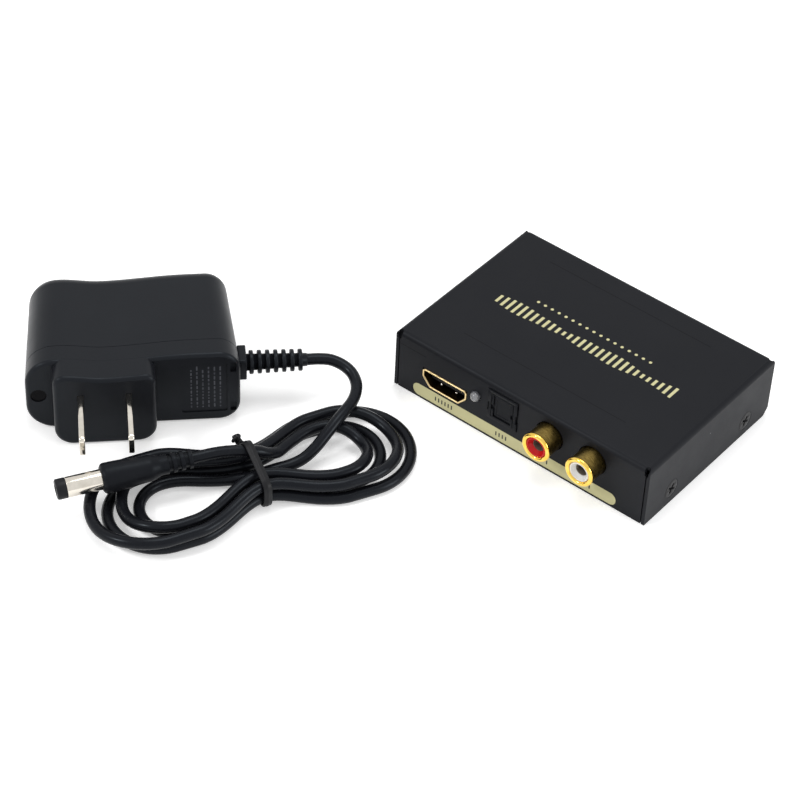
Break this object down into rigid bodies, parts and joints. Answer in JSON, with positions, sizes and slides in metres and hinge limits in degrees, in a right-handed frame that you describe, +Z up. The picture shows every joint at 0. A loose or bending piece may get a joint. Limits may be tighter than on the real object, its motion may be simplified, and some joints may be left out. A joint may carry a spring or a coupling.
{
  "type": "hdmi audio extractor",
  "caption": "Small black metal box with gilt video, optical and twin audio sockets, and beside it a plug-in power adapter with its lead coiled and tied.",
  "frame": {"origin": "middle of the underside of the metal box", "axes": "+X along the port side to the right as seen from the ports, -Y out of the ports, +Z up"},
  "size_m": [0.17, 0.1585, 0.0238],
  "materials": {
    "powder_coat": "satin black powder coat with a fine grain",
    "black_steel": "blackened steel",
    "board": "green solder mask",
    "nickel": "bright nickel plate",
    "gold": "polished gold plate",
    "brass": "plain brass",
    "black_plastic": "matt black moulding",
    "clear_lens": "milky clear lens",
    "dark_red_lens": "dark red light source",
    "red_plastic": "red moulding",
    "white_plastic": "off-white moulding",
    "chip_black": "black moulding compound",
    "can_aluminium": "drawn aluminium can",
    "ferrite": "dark ferrite",
    "adapter_plastic": "fine-grained black moulding",
    "adapter_board": "tan laminate",
    "transformer_tape": "yellow tape over ferrite",
    "capacitor_sleeve": "dark blue sleeve",
    "dark_lens": "smoked lens",
    "cord_plastic": "soft black vinyl",
    "tie_plastic": "black coated wire tie"
  },
  "bodies": {
    "converter": {"top_cover": "powder_coat", "bottom_plate": "powder_coat", "cover_screws": "black_steel", "circuit_board": "board", "board_spacers": "nickel", "board_screws": "nickel", "video_out_shell": "gold", "video_out_tongue": "black_plastic", "video_out_contacts": "gold", "video_in_shell": "gold", "video_in_tongue": "black_plastic", "video_in_contacts": "gold", "status_light": "clear_lens", "light_leads": "nickel", "optical_socket": "black_plastic", "shutter_pin": "nickel", "shutter_spring": "nickel", "optical_emitter": "dark_red_lens", "audio_socket_block": "black_plastic", "red_socket_barrel": "gold", "red_socket_insulator": "red_plastic", "red_socket_contact": "gold", "white_socket_barrel": "gold", "white_socket_insulator": "white_plastic", "white_socket_contact": "gold", "power_socket": "black_plastic", "power_socket_pin": "nickel", "power_socket_spring": "nickel", "mode_switch_frame": "nickel", "video_chip": "chip_black", "audio_chips": "chip_black", "electrolytic_capacitors": "can_aluminium", "voltage_regulator": "chip_black", "power_coil": "ferrite", "clock_crystal": "nickel", "chip_resistors": "chip_black"},
    "shutter": {"optical_shutter": "black_plastic"},
    "mode_knob": {"mode_switch_knob": "black_plastic"},
    "power_adapter": {"adapter_front_shell": "adapter_plastic", "adapter_rear_shell": "adapter_plastic", "plug_blades": "nickel", "blade_springs": "brass", "adapter_board": "adapter_board", "adapter_transformer": "transformer_tape", "adapter_capacitors": "capacitor_sleeve", "adapter_diodes": "chip_black", "adapter_light_lens": "dark_lens", "strain_relief": "cord_plastic", "lead_run": "cord_plastic", "lead_hank": "cord_plastic", "lead_end": "cord_plastic", "cord_tie": "tie_plastic", "plug_grip": "cord_plastic", "plug_barrel": "nickel", "plug_insulator": "black_plastic", "plug_contact": "brass"}
  },
  "joints": [
    {"name": "shutter_hinge", "type": "hinge", "parent": "converter", "child": "shutter", "pos_m": [-0.0053, -0.0274, 0.0154], "axis": [1, 0, 0], "range_deg": [0, 80], "stiffness_Nm_per_rad": 0.00002, "springref_deg": -20.05},
    {"name": "mode_slide", "type": "slide", "parent": "converter", "child": "mode_knob", "axis": [1, 0, 0], "range_m": [-0.002, 0.002]},
    {"name": "adapter_aside", "type": "slide", "parent": "converter", "child": "power_adapter", "axis": [-1, 0, 0], "range_m": [0, 0.06]}
  ]
}
